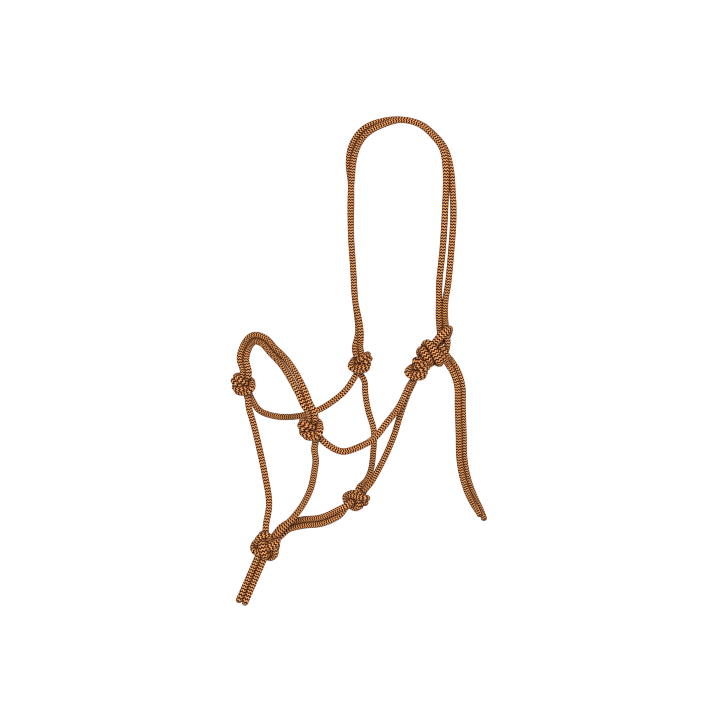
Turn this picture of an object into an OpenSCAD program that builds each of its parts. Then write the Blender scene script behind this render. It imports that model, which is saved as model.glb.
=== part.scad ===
// Rope halter: one length of braided rope tied with seven knots into a
// noseband, cheek, jaw, chin and throat lines, a crown that goes over the
// poll, a tie loop closed with a sheet bend, a hanging tail and a lead loop.
// Millimetres. +Z is up, the nose points to -X, the tied (near) side is -Y.
// The origin is the eye of the lead loop.

/* [Rope] */
// rope diameter
rope_d = 8; // [6:0.5:10]
// flats around a rope
sides = 8; // [6:1:12]
// length of one facet along a gentle run
run_step = 13; // [8:1:20]
// gap left between a swinging rope end and its knot
clear = 0.7; // [0.5:0.1:1.5]

/* [Knot positions] */
// distance between the two nose knots across the face
nose_width = 134; // [110:2:160]
// nose knots, distance behind the lead loop eye
nose_x = 53; // [30:1:90]
// far nose knot height
nose_far_z = 249; // [200:1:300]
// near nose knot height, a little lower as the halter hangs
nose_near_z = 224; // [200:1:300]
// distance between the two cheek knots across the face
cheek_width = 110; // [90:2:140]
// cheek knots, distance behind the lead loop eye
cheek_x = 235; // [200:1:270]
// far cheek knot height
cheek_far_z = 248; // [210:1:290]
// near cheek knot height
cheek_near_z = 261; // [210:1:290]
// throat knot, distance behind the lead loop eye
throat_x = 180; // [140:1:220]
// throat knot height
throat_z = 85; // [50:1:120]
// fiador knot, distance behind the lead loop eye
fiador_x = 35; // [25:1:60]
// fiador knot height above the lead loop eye
fiador_z = 58; // [50:1:80]
// top of the crown above the lead loop eye
crown_z = 567; // [520:1:620]

/* [Knot sizes] */
// ball radius of a doubled overhand knot
knot_r = 14.2; // [12:0.2:16]
// ball radius of the fiador knot
fiador_r = 18.8; // [16:0.2:22]

/* [Lead loop and tail] */
// bend radius of the lead loop to the rope centre
eye_r = 7; // [6:0.5:12]
// length of a sealed rope end
seal_len = 12; // [8:1:20]

/* [Hidden] */
rope_r = rope_d / 2;
body_col = [0.80, 0.45, 0.18];
dark_col = [0.20, 0.10, 0.06];
// the flat side of every doubled run faces forwards, to the near side and up
face_dir = unit([-0.62, -0.74, 0.26]);

// knot centres
nose_far = [nose_x, nose_width / 2, nose_far_z];
nose_near = [nose_x + 1, -nose_width / 2, nose_near_z];
cheek_far = [cheek_x, cheek_width / 2, cheek_far_z];
cheek_near = [cheek_x - 1, -cheek_width / 2, cheek_near_z];
throat = [throat_x, 0, throat_z];
fiador = [fiador_x, 0, fiador_z];
bend = [cheek_x + 26, -58, 285];

// distance from a knot centre to the ball centre of a rope end beside it
knot_stand = knot_r + rope_r + clear;
fiador_stand = fiador_r + rope_r + clear;
// extra distance from the knot for some rope ends
chin_throat_extra = 0.2;
chin_fiador_extra = 0.3;
crown_extra = 0.3;
throat_extra = 0.4;
tie_extra = 0.4;
lead_extra = 0.4;

// ---------- vectors and lists ----------
function unit(v) = v / norm(v);
function xyz(point) = [point[0], point[1], point[2]];
function last(list) = list[len(list) - 1];
function reversed(list) = [for (i = [len(list) - 1 : -1 : 0]) list[i]];
// unit vector tilted from +Z, then turned about Z
function tilted(tilt, turn) = [sin(tilt) * cos(turn), sin(tilt) * sin(turn), cos(tilt)];
// point at a distance from a knot centre, where a rope end sits
function beside(knot, dir, dist) = knot + unit(dir) * dist;
// four vertex numbers in order round a quad, as two triangles
function split_quad(a, b, c, d) = [[a, b, c], [a, c, d]];

// ---------- curves ----------
// guide points may carry more columns after x, y, z; these are blended too
function gap(a, b) = norm(xyz(b) - xyz(a));
function slope(guide, i) = (guide[i + 1] - guide[i]) / gap(guide[i], guide[i + 1]);
function lean(guide, i) =
  i == 0 ? slope(guide, 0) :
  i == len(guide) - 1 ? slope(guide, len(guide) - 2) :
  let (before = gap(guide[i - 1], guide[i]), after = gap(guide[i], guide[i + 1]))
  (slope(guide, i - 1) * after + slope(guide, i) * before) / (before + after);
// point at fraction t of a span of the given length
function hermite(start, end, start_lean, end_lean, length, t) =
  start * (2 * t * t * t - 3 * t * t + 1) +
  start_lean * (length * (t * t * t - 2 * t * t + t)) +
  end * (3 * t * t - 2 * t * t * t) +
  end_lean * (length * (t * t * t - t * t));
// smooth curve through the guide points, with facets no longer than about `step`
function curve(guide, step) = [
  for (i = [0 : len(guide) - 2])
    let (length = gap(guide[i], guide[i + 1]), count = max(1, ceil(length / step)))
    for (j = [0 : count - 1])
      hermite(guide[i], guide[i + 1], lean(guide, i), lean(guide, i + 1), length, j / count),
  last(guide)];
function tangents(path) = let (end = len(path) - 1) [
  for (i = [0 : end]) unit(xyz(path[min(i + 1, end)]) - xyz(path[max(i - 1, 0)]))];
// path of one rope of a doubled run; side is -1 or 1
// stations are [x, y, z, half spacing, twist in degrees]
function twin(stations, side) =
  let (path = curve(stations, run_step), dirs = tangents(path)) [
    for (i = [0 : len(path) - 1])
      let (
        flat = unit(cross(dirs[i], face_dir)),
        facing = cross(flat, dirs[i]),
        spacing = path[i][3],
        twist = path[i][4])
      xyz(path[i]) + side * spacing * (cos(twist) * flat + sin(twist) * facing)];

// ---------- ropes ----------
function across(dir) = unit(cross(dir, abs(dir[2]) < 0.9 ? [0, 0, 1] : [0, 1, 0]));
// a vector across the rope, carried along its tangents without twisting
function carried(dirs) = [
  for (i = 0, v = across(dirs[0]); i < len(dirs); i = i + 1,
       v = i < len(dirs) ? unit(v - dirs[i] * (v * dirs[i])) : v) v];
function ring(centre, dir, start, radius) = let (other = cross(dir, start)) [
  for (k = [0 : sides - 1])
    let (angle = 360 * k / sides)
    centre + radius * (cos(angle) * start + sin(angle) * other)];

// open rope along a path; `cap` is true for ball ends, false for cut ends
module rope(path, cap = true) {
  dirs = tangents(path);
  starts = carried(dirs);
  end = len(path) - 1;
  cap_r = rope_r * cos(45);
  tip = cap ? rope_r : 0;
  rings = concat(
    cap ? [ring(path[0] - dirs[0] * cap_r, dirs[0], starts[0], cap_r)] : [],
    [for (i = [0 : end]) ring(path[i], dirs[i], starts[i], rope_r)],
    cap ? [ring(path[end] + dirs[end] * cap_r, dirs[end], starts[end], cap_r)] : []);
  count = len(rings);
  points = concat(
    [for (ring_points = rings) each ring_points],
    [path[0] - dirs[0] * tip, path[end] + dirs[end] * tip]);
  first_tip = count * sides;
  last_row = (count - 1) * sides;
  faces = concat(
    [for (i = [0 : count - 2]) for (j = [0 : sides - 1])
      let (row = i * sides, next_row = row + sides, next = (j + 1) % sides)
      each split_quad(row + j, next_row + j, next_row + next, row + next)],
    [for (j = [0 : sides - 1]) [first_tip, j, (j + 1) % sides]],
    [for (j = [0 : sides - 1]) [first_tip + 1, last_row + (j + 1) % sides, last_row + j]]);
  polyhedron(points, faces);
}
module strand(guide) rope(curve(guide, run_step));
module twin_strand(stations, side) rope(twin(stations, side));

// closed rope ring in the XY plane; radius is to the rope centre
module hoop(radius, facets) {
  points = [for (i = [0 : facets - 1]) for (j = [0 : sides - 1])
    let (turn = 360 * i / facets, angle = 360 * j / sides, dist = radius + rope_r * cos(angle))
    [dist * cos(turn), dist * sin(turn), rope_r * sin(angle)]];
  faces = [for (i = [0 : facets - 1]) for (j = [0 : sides - 1])
    let (row = i * sides, next_row = (i + 1) % facets * sides, next = (j + 1) % sides)
    each split_quad(row + j, row + next, next_row + next, next_row + j)];
  polyhedron(points, faces);
}

// put local Z along `up` and local X towards `side`, at a centre
module stand_at(centre, up, side) {
  z = unit(up);
  x = unit(side - z * (side * z));
  y = cross(z, x);
  multmatrix([
    [x[0], y[0], z[0], centre[0]],
    [x[1], y[1], z[1], centre[1]],
    [x[2], y[2], z[2], centre[2]],
    [0, 0, 0, 1]])
    children();
}

// ---------- knots ----------
// A knot is one solid seen from its middle: in every direction the surface
// is the outermost of its packed middle, the rope rings wrapped round it and
// the stubs of the ropes that leave it.
core_sink = 0.3;    // packed middle, below the rope centres of the wraps
stub_sink = 0.6;    // flat stub ends, below the ball radius
stub_splay = 0.36;  // sideways lean of a stub for each unit along the pull
stub_skew = 0.1;    // lean of an overhand stub along local X

// rope ring round `normal`, shifted along it; wrap_r is from middle to rope centre
function ring_reach(dir, normal, shift, wrap_r) =
  let (angle = asin(max(-1, min(1, dir * normal))) - asin(shift / wrap_r),
       off = wrap_r * sin(angle))
  abs(angle) < 90 && abs(off) < rope_r * 0.99
    ? wrap_r * cos(angle) + sqrt(rope_r * rope_r - off * off) : 0;
// rope stub that leaves along `stub` and is cut just inside the ball
function stub_reach(dir, stub, ball_r) =
  let (c = dir * stub, cut = ball_r - stub_sink)
  c > 0.1 && cut * sqrt(max(0, 1 - c * c)) / c < rope_r ? min(cut / c, ball_r) : 0;
function reach(dir, rings, stubs, ball_r) =
  let (wrap_r = ball_r - rope_r)
  max(concat(
    [wrap_r - core_sink],
    [for (wrap = rings) ring_reach(dir, wrap[0], wrap[1], wrap_r)],
    [for (stub = stubs) stub_reach(dir, stub, ball_r)]));

// rings are [normal, shift along it], stubs are unit directions
module wrapped_ball(rings, stubs, ball_r, columns, rows) {
  dirs = concat(
    [for (i = [1 : rows - 1]) for (j = [0 : columns - 1])
      tilted(180 * i / rows, 360 * (j + (i % 2) / 2) / columns)],
    [[0, 0, 1], [0, 0, -1]]);
  points = [for (dir = dirs) dir * reach(dir, rings, stubs, ball_r)];
  top = (rows - 1) * columns;
  last_row = top - columns;
  faces = concat(
    // alternate rows are staggered by half a column
    [for (i = [0 : rows - 3]) for (j = [0 : columns - 1])
      let (row = i * columns, next_row = row + columns, next = (j + 1) % columns)
      each split_quad(row + next, next_row + (j + 1 + i % 2) % columns,
        next_row + (j + i % 2) % columns, row + j)],
    [for (j = [0 : columns - 1]) [top, (j + 1) % columns, j]],
    [for (j = [0 : columns - 1]) [top + 1, last_row + j, last_row + (j + 1) % columns]]);
  polyhedron(points, faces);
}

// doubled overhand knot: two parallel wraps, a crossing pair of wraps and the
// two ropes they grip; local Z is the line of pull
module overhand_pair() {
  wrap = tilted(28, 0);
  cross_wrap = tilted(-56, 25);
  wrapped_ball(
    rings = [for (normal = [wrap, cross_wrap]) for (s = [1, -1]) [normal, s * rope_r]],
    stubs = [for (s = [-1, 1]) for (k = [-1, 1])
      unit([stub_skew * s * k, s * stub_splay, k])],
    ball_r = knot_r, columns = 30, rows = 18);
}
module nose_knot_far() color(body_col)
  stand_at(nose_far, up = [0, 0.05, 1], side = [-1, -0.6, 0]) overhand_pair();
module nose_knot_near() color(body_col)
  stand_at(nose_near, up = [-0.2, 0, 1], side = [-1, -0.6, 0]) overhand_pair();
module cheek_knot_far() color(body_col)
  stand_at(cheek_far, up = [0, 0.05, 1], side = [1, -0.6, 0]) overhand_pair();
module cheek_knot_near() color(body_col)
  stand_at(cheek_near, up = [0.6, 0, 1], side = [-1, -0.6, 0.4]) overhand_pair();
module throat_knot() color(body_col)
  stand_at(throat, up = [0.8, 0, 0.6], side = [0.6, -0.4, -0.8]) overhand_pair();

// fiador knot: four tilted wraps woven round four ropes
fiador_wrap_tilt = 60;
fiador_wrap_shift = 5;
module fiador_knot() color(body_col)
  stand_at(fiador, up = [0.5, 0, 0.86], side = [0.8, -0.4, -0.4])
    wrapped_ball(
      rings = [for (a = [0 : 90 : 270]) [tilted(fiador_wrap_tilt, a), fiador_wrap_shift]],
      stubs = [for (a = [45 : 90 : 315]) for (k = [-1, 1])
        unit([stub_splay * cos(a), stub_splay * sin(a), k])],
      ball_r = fiador_r, columns = 38, rows = 22);

// sheet bend: two rope turns round a packed middle, and the ends of the crown
// pair coming in from above
bend_turn_r = 11.6;
bend_core_r = 10.5;
bend_drop = 5;                    // turns and middle, below the bend centre in local Z
bend_turn_shift = rope_r * 1.02;  // turns, either side of the middle
bend_pair_offset = 4.2 * [0.76, -0.64, 0];
bend_entry = [
  [bend[0] + 8, -62, 314],
  [bend[0] + 6, -61, 300],
  [bend[0] + 2, -58, 288],
  [bend[0] + 3, -58, 276]];
module sheet_bend() color(body_col) resize([0, 0, 0]) union() {
  stand_at(bend, up = [0.73, -0.08, 0.68], side = [-0.6, -0.5, 0.6]) {
    for (s = [-1, 1])
      translate([0, 0, s * bend_turn_shift - bend_drop]) hoop(bend_turn_r, facets = 20);
    translate([0, 0, -bend_drop]) sphere(r = bend_core_r, $fn = 14);
  }
  for (s = [-1, 1])
    rope([for (point = bend_entry) point + s * bend_pair_offset], cap = false);
}

// tie loop: a bight that leaves the near cheek knot and is caught by the bend
tie_dir = unit(bend - cheek_near);
tie_side = unit(cross(tie_dir, face_dir));
tie_step = 7;        // facet length
tie_root_half = 5;   // half spacing of the legs at the cheek knot
tie_tip = 27.5;      // end of the loop beyond the bend centre
// one leg: [half spacing, distance beyond the bend centre]
tie_leg_stations = [[5.5, -6], [5.6, 12], [4.5, 22]];
function tie_leg(s) = concat(
  [cheek_near + tie_dir * (knot_stand + tie_extra) + s * tie_side * tie_root_half],
  [for (p = tie_leg_stations) bend + s * tie_side * p[0] + tie_dir * p[1]]);
module tie_loop() color(body_col)
  rope(curve(concat(tie_leg(1), [bend + tie_dir * tie_tip], reversed(tie_leg(-1))), tie_step));

// ---------- doubled runs ----------
// stations are [x, y, z, half spacing, twist in degrees]
noseband = [
  [nose_x, 69, nose_far_z + knot_stand, 4.5, 0],
  [56, 70, 280, 4.3, 0],
  [58, 64, 300, 4.3, 0],
  [59, 48, 311, 4.3, 0],
  [61, 32, 311, 4.3, 0],
  [57, 12, 303, 4.3, 0],
  [51, -20, 292, 4.3, 0],
  [46, -47, 274, 4.3, 0],
  [47, -62, 258, 4.3, 0],
  [nose_x - 4, -67, nose_near_z + knot_stand, 4.5, 0]];
module noseband_front_strand() color(body_col) twin_strand(noseband, -1);
module noseband_rear_strand() color(body_col) twin_strand(noseband, 1);

chin = [
  concat(beside(throat, [-0.92, 0, -0.4], knot_stand + chin_throat_extra), [4.4, 0]),
  [148, 0, 73, 4.3, 0],
  [125, 0, 70, 4.3, 0],
  [88, 0, 75, 4.3, 0],
  [66, 0, 74.5, 4.3, 0],
  concat(beside(fiador, [0.9, 0, 0.43], fiador_stand + chin_fiador_extra), [4.5, 0])];
module chin_strand_upper() color(body_col) twin_strand(chin, -1);
module chin_strand_lower() color(body_col) twin_strand(chin, 1);

// from the far cheek knot over the top and down to the sheet bend
crown = [
  [cheek_x, 56, cheek_far_z + knot_stand + crown_extra, 4.6, 56],
  [235, 60, 301, 4.3, 75],
  [234, 65, 325, 4.3, 90],
  [235, 71, 370, 4.3, 90],
  [234, 74, 414, 4.3, 90],
  [235, 75, 486, 4.3, 84],
  [234, 74, 509, 4.3, 60],
  [235, 68, 530, 4.3, 45],
  [239, 52, 550, 4.3, 40],
  [250, 30, 562, 4.3, 60],
  [261, 8, crown_z, 4.3, 80],
  [271, -16, 563, 4.3, 78],
  [275, -37, 551, 4.3, 72],
  [274, -58, 535, 4.3, 60],
  [271, -68, 516, 4.3, 40],
  [270, -72, 485, 4.6, 10],
  [267.5, -75, 457, 5.3, 0],
  [264.5, -75, 412, 5.4, 0],
  [263, -72, 374, 6.2, 0],
  [265, -67, 345, 4.6, 0],
  [bend[0] + 7.5, -63, 324, 4.3, 0]];
module crown_front_strand() color(body_col) twin_strand(crown, 1);
module crown_rear_strand() color(body_col) twin_strand(crown, -1);

// ---------- single runs ----------
// guide points [x, y, z] between two knots
module cheek_strand_far() color(body_col) strand([
  beside(nose_far, [11, 2, -15], knot_stand),
  [77, 70, 211], [101, 73, 197], [130, 74, 189], [152, 74, 187],
  [177, 72, 190], [200, 69, 199], [216, 64, 211],
  beside(cheek_far, [-8, 2, -17], knot_stand)]);
module cheek_strand_near() color(body_col) strand([
  beside(nose_near, [12, -1, -14], knot_stand),
  [78, -72, 197], [95, -76, 187], [118, -78, 188],
  [145, -77, 194], [170, -72, 208], [196, -65, 222],
  beside(cheek_near, [-13, -3, -13.5], knot_stand)]);
module jaw_strand_far() color(body_col) strand([
  beside(nose_far, [0.5, -4, -18], knot_stand),
  [60, 57, 199], [62, 46, 163], [60, 34, 136], [53, 17, 101],
  beside(fiador, [0.2, 0.33, 0.93], fiador_stand)]);
module jaw_strand_near() color(body_col) strand([
  beside(nose_near, [-1, 4, -18], knot_stand),
  [62, -61, 180], [67, -57, 163], [69, -47, 138], [64, -29, 105],
  beside(fiador, [0.45, -0.5, 0.77], fiador_stand)]);
module throat_strand_far() color(body_col) strand([
  beside(cheek_far, [8, -1, -17], knot_stand),
  [241, 54, 210], [243, 50, 182], [246, 42, 156], [235, 30, 131], [216, 15, 108],
  beside(throat, [15, 7, 11], knot_stand + throat_extra)]);
module throat_strand_near() color(body_col) strand([
  beside(cheek_near, [-5, 3, -17.5], knot_stand),
  [221, -52, 229], [214, -48, 206], [210, -40, 176], [203, -28, 142], [199, -16, 118],
  beside(throat, [14, -7, 12.5], knot_stand + throat_extra)]);

// ---------- lead loop ----------
// two bights side by side under the fiador knot; the eye is the origin
lead_dir = unit(-fiador);
lead_face = unit(face_dir - lead_dir * (face_dir * lead_dir));
lead_side = cross(lead_dir, lead_face);
lead_top = norm(fiador) - fiador_stand - lead_extra;
lead_root_half = 4.6;  // half spacing of a bight's legs at the knot
lead_pair_half = 4.4;  // half spacing of the two bights
lead_spans = 3;        // facets along a leg
// one leg from the knot down to the bend, on side s of the bight
function lead_leg(s) = [
  for (k = [0 : lead_spans])
    let (f = k / lead_spans, half = lead_root_half + (eye_r - lead_root_half) * f)
    -lead_dir * (lead_top * (1 - f)) + s * lead_face * half];
lead_arc = [for (a = [20 : 20 : 160]) lead_face * eye_r * cos(a) + lead_dir * eye_r * sin(a)];
module lead_bight(s) rope([
  for (point = concat(lead_leg(1), lead_arc, reversed(lead_leg(-1))))
    point + lead_side * s * lead_pair_half]);
module lead_loop_left() color(body_col) lead_bight(-1);
module lead_loop_right() color(body_col) lead_bight(1);

// ---------- tail ----------
// stations are [x, y, z, half spacing, twist in degrees]
tail = [
  [282, -62, 266, 4.4, 10],
  [289, -67, 252, 4.4, 0],
  [293, -71, 236, 4.4, 0],
  [292.5, -74, 206, 4.4, 0],
  [294, -75, 168, 4.4, 0],
  [296, -75, 135, 4.4, 0],
  [302, -75, 109, 4.4, 0],
  [314, -75, 81, 4.4, 0],
  [330, -75, 55, 4.4, 20],
  [341, -75, 37, 4.4, 40]];
// the tail hangs in three lengths of three spans each
tail_spans = 3;
// ends that meet are drawn back by this much, so that their balls stay apart
tail_gap = rope_r + clear * 0.75;
function tail_part(first, start_gap, end_gap) =
  let (end = first + tail_spans) [
    tail[first] + slope(tail, first) * start_gap,
    for (i = [first + 1 : end - 1]) tail[i],
    tail[end] - slope(tail, end - 1) * end_gap];
tail_top = tail_part(0, 0, tail_gap);
tail_middle = tail_part(tail_spans, tail_gap, tail_gap);
tail_end = tail_part(2 * tail_spans, tail_gap, 0);
module tail_top_long_strand() color(body_col) twin_strand(tail_top, -1);
module tail_top_short_strand() color(body_col) twin_strand(tail_top, 1);
module tail_middle_long_strand() color(body_col) twin_strand(tail_middle, -1);
module tail_middle_short_strand() color(body_col) twin_strand(tail_middle, 1);

// length run so far at each point of a path
function run_lengths(path) = [
  for (i = 0, run = 0; i < len(path); i = i + 1,
       run = i < len(path) ? run + norm(path[i] - path[i - 1]) : run) run];
// path shortened by `trim`; no facet shorter than 1 mm is left at its end
function trimmed(path, trim) =
  let (runs = run_lengths(path),
       length = last(runs) - trim,
       n = max([for (i = [0 : len(path) - 2]) if (runs[i] < length - 1) i]),
       part = (length - runs[n]) / (runs[n + 1] - runs[n]))
  [for (i = [0 : n]) path[i], path[n] + (path[n + 1] - path[n]) * part];
seal_stand = rope_r + 0.3;  // from the rope's last point to its sealed end
short_extra = 4;            // further shortening of the short strand
long_path = trimmed(twin(tail_end, -1), seal_len + seal_stand);
short_path = trimmed(twin(tail_end, 1), 2 * seal_len + rope_r + short_extra);
module tail_end_long_strand() color(body_col) rope(long_path);
module tail_end_short_strand() color(body_col) rope(short_path);

// melted and sealed rope ends
module seal(path) {
  dir = last(tangents(path));
  stand_at(last(path) + dir * seal_stand, up = dir, side = [0, 1, 0])
    cylinder(r = rope_r, h = seal_len, $fn = 64);
}
module sealed_end_long() color(dark_col) seal(long_path);
module sealed_end_short() color(dark_col) seal(short_path);

nose_knot_far();
nose_knot_near();
cheek_knot_far();
cheek_knot_near();
throat_knot();
fiador_knot();
sheet_bend();
tie_loop();
noseband_front_strand();
noseband_rear_strand();
cheek_strand_far();
cheek_strand_near();
jaw_strand_far();
jaw_strand_near();
chin_strand_upper();
chin_strand_lower();
throat_strand_far();
throat_strand_near();
crown_front_strand();
crown_rear_strand();
lead_loop_left();
lead_loop_right();
tail_top_long_strand();
tail_top_short_strand();
tail_middle_long_strand();
tail_middle_short_strand();
tail_end_long_strand();
tail_end_short_strand();
sealed_end_long();
sealed_end_short();
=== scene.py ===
import bpy, math
import numpy as np
from mathutils import Matrix, Vector


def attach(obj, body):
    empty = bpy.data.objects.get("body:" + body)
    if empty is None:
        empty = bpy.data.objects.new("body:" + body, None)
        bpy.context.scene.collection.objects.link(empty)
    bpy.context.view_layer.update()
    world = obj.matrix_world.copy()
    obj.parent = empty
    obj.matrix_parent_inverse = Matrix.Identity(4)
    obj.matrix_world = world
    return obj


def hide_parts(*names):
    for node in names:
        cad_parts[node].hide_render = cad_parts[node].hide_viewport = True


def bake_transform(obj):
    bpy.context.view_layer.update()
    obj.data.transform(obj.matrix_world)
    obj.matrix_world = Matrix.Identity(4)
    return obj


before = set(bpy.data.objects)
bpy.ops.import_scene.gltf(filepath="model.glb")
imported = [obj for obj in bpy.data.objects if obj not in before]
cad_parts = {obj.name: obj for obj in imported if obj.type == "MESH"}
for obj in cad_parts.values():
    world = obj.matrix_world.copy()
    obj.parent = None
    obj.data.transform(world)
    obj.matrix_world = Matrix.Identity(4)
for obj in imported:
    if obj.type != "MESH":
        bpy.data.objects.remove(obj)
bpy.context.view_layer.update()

MM = 0.001
ROPE_R = 4.0


# ---------------------------------------------------------------- vectors
def V(*a):
    return np.array(a, float)


def unit(v):
    v = np.asarray(v, float)
    return v / np.linalg.norm(v)


def resample(P, step):
    d = np.r_[0, np.cumsum(np.linalg.norm(np.diff(P, axis=0), axis=1))]
    n = max(2, int(round(d[-1] / step)))
    s = np.linspace(0, d[-1], n + 1)
    return np.stack([np.interp(s, d, P[:, k]) for k in range(P.shape[1])], 1)


def length(P):
    return float(np.linalg.norm(np.diff(P[:, :3], axis=0), axis=1).sum())


def smooth(P, n):
    for _ in range(n):
        Q = P.copy()
        Q[1:-1] = 0.25 * P[:-2] + 0.5 * P[1:-1] + 0.25 * P[2:]
        P = Q
    return P


def tangents(P):
    T = np.gradient(P, axis=0)
    return T / np.maximum(np.linalg.norm(T, axis=1)[:, None], 1e-9)


def curve(w, step=1.0):
    """smooth curve through guide points (chord-length Hermite), as in part.scad"""
    w = np.array(w, float)
    h = np.linalg.norm(np.diff(w[:, :3], axis=0), axis=1)
    s = np.diff(w, axis=0) / h[:, None]
    m = np.zeros_like(w)
    m[0], m[-1] = s[0], s[-1]
    for i in range(1, len(w) - 1):
        m[i] = (s[i - 1] * h[i] + s[i] * h[i - 1]) / (h[i - 1] + h[i])
    out = []
    for i in range(len(w) - 1):
        k = max(1, int(math.ceil(h[i] / step)))
        for j in range(k):
            t = j / k
            out.append(w[i] * (2 * t**3 - 3 * t**2 + 1) + m[i] * h[i] * (t**3 - 2 * t**2 + t)
                       + w[i + 1] * (3 * t**2 - 2 * t**3) + m[i + 1] * h[i] * (t**3 - t**2))
    out.append(w[-1])
    return np.array(out)


FACE = unit([-0.62, -0.74, 0.26])


def twin(w, side, step=1.0):
    c = curve(w, step)
    t = tangents(c[:, :3])
    s = np.cross(t, FACE)
    s /= np.linalg.norm(s, axis=1)[:, None]
    f = np.cross(s, t)
    a = np.radians(c[:, 4])[:, None]
    h = np.where(c[:, 3:4] < 4.8, c[:, 3:4] - 0.42, c[:, 3:4])     # the pair lies touching
    return c[:, :3] + side * h * (np.cos(a) * s + np.sin(a) * f)


def bridge(A, B, k=0.42, step=1.0):
    """join the end of polyline A to the start of polyline B smoothly"""
    p0, p1 = A[-1], B[0]
    t0, t1 = unit(A[-1] - A[-3]), unit(B[2] - B[0])
    d = np.linalg.norm(p1 - p0)
    n = max(3, int(d / step))
    u = np.linspace(0, 1, n + 1)[1:-1, None]
    h = d * k
    M = ((1 - u)**3 * p0 + 3 * (1 - u)**2 * u * (p0 + t0 * h)
         + 3 * (1 - u) * u * u * (p1 - t1 * h) + u**3 * p1)
    return np.concatenate([A, M, B])


# ------------------------------------------------- rope tightening solver
def tighten(strands, dirs, d0, d1, ell, steps, pull, iters=9, lim=0.02, contact=0.97,
            bend=0.03, rmin=0.7, hold=0.35):
    """Ropes as chains of beads: keep bead spacing, keep ropes from passing
    through each other, limit the bend, pull the ends until the rope is taut,
    while the rope's thickness grows from d0 to d1."""
    sizes = [len(s) for s in strands]
    off = np.r_[0, np.cumsum(sizes)]
    P = np.concatenate(strands).astype(float)
    N = len(P)
    sid = np.repeat(np.arange(len(sizes)), sizes)
    iu, ju = np.triu_indices(N, 1)
    sep = (ju - iu) * ell
    same = sid[iu] == sid[ju]
    a0 = np.array([i for i in range(N - 1) if sid[i] == sid[i + 1]])
    ev, od = a0[(a0 % 2) == 0], a0[(a0 % 2) == 1]
    tri = np.array([i for i in range(1, N - 1) if sid[i - 1] == sid[i + 1]])
    ends = sorted(dirs)
    pi = np.array([off[k] if e == 0 else off[k + 1] - 1 for k, e in ends])
    base = P[pi].copy()
    D3 = np.array([dirs[q] for q in ends], float)
    grp = [tuple(np.round(D3[q], 3)) for q in range(len(ends))]
    cen = np.array([base[[i for i in range(len(ends)) if grp[i] == grp[q]]].mean(0) for q in range(len(ends))])
    lat = base - cen
    lat -= D3 * (lat * D3).sum(1)[:, None]
    trav = np.zeros(len(ends))
    free = np.ones(N)
    free[pi] = 0
    for st in range(steps):
        d = d0 + (d1 - d0) * min(1.0, st / (steps * (1 - hold)))
        D = d * contact
        lim_h = ell * ell / (2 * rmin * d)
        seg = np.linalg.norm(P[a0 + 1] - P[a0], axis=1)
        sm = np.array([seg[sid[a0] == k].mean() / ell - 1 for k in range(len(sizes))])
        L0 = lim if st < steps * 0.9 else lim * 0.4
        for q, (k, e) in enumerate(ends):
            if sm[k] < L0:
                trav[q] += pull
            elif sm[k] > L0 * 1.3:
                trav[q] -= pull * min(3, (sm[k] / L0 - 1))
        P[pi] = base + D3 * trav[:, None] + lat * (d / d0 - 1)
        v = P[ju] - P[iu]
        c = np.nonzero(((v * v).sum(1) < (D + 2.5)**2) & ~(same & (sep < 1.5 * d)))[0]
        ci, cj = iu[c], ju[c]
        for it in range(iters):
            m = (P[tri - 1] + P[tri + 1]) / 2 - P[tri]
            ln = np.linalg.norm(m, axis=1)
            w = bend + np.clip((ln - lim_h) / np.maximum(ln, 1e-9), 0, 1) * 0.4
            P[tri] += m * (w * free[tri])[:, None]
            for a in (ev, od):
                b = a + 1
                v = P[b] - P[a]
                L = np.linalg.norm(v, axis=1)
                cc = (L - ell) / np.maximum(L, 1e-9)
                wa, wb = free[a], free[b]
                ws = np.maximum(wa + wb, 1e-9)
                P[a] += v * (cc * wa / ws)[:, None]
                P[b] -= v * (cc * wb / ws)[:, None]
            v = P[cj] - P[ci]
            L = np.sqrt((v * v).sum(1))
            h = L < D
            if h.any():
                Lh = np.maximum(L[h], 1e-6)
                dx = v[h] * ((D - Lh) / Lh * 0.45)[:, None]
                acc = np.zeros((N, 3))
                for q in range(3):
                    acc[:, q] = (np.bincount(cj[h], dx[:, q], N) - np.bincount(ci[h], dx[:, q], N))
                cnt = np.bincount(ci[h], minlength=N) + np.bincount(cj[h], minlength=N)
                P += acc / np.sqrt(np.maximum(cnt, 1))[:, None] * free[:, None]
    return [P[off[k]:off[k + 1]].copy() for k in range(len(sizes))]


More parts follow.
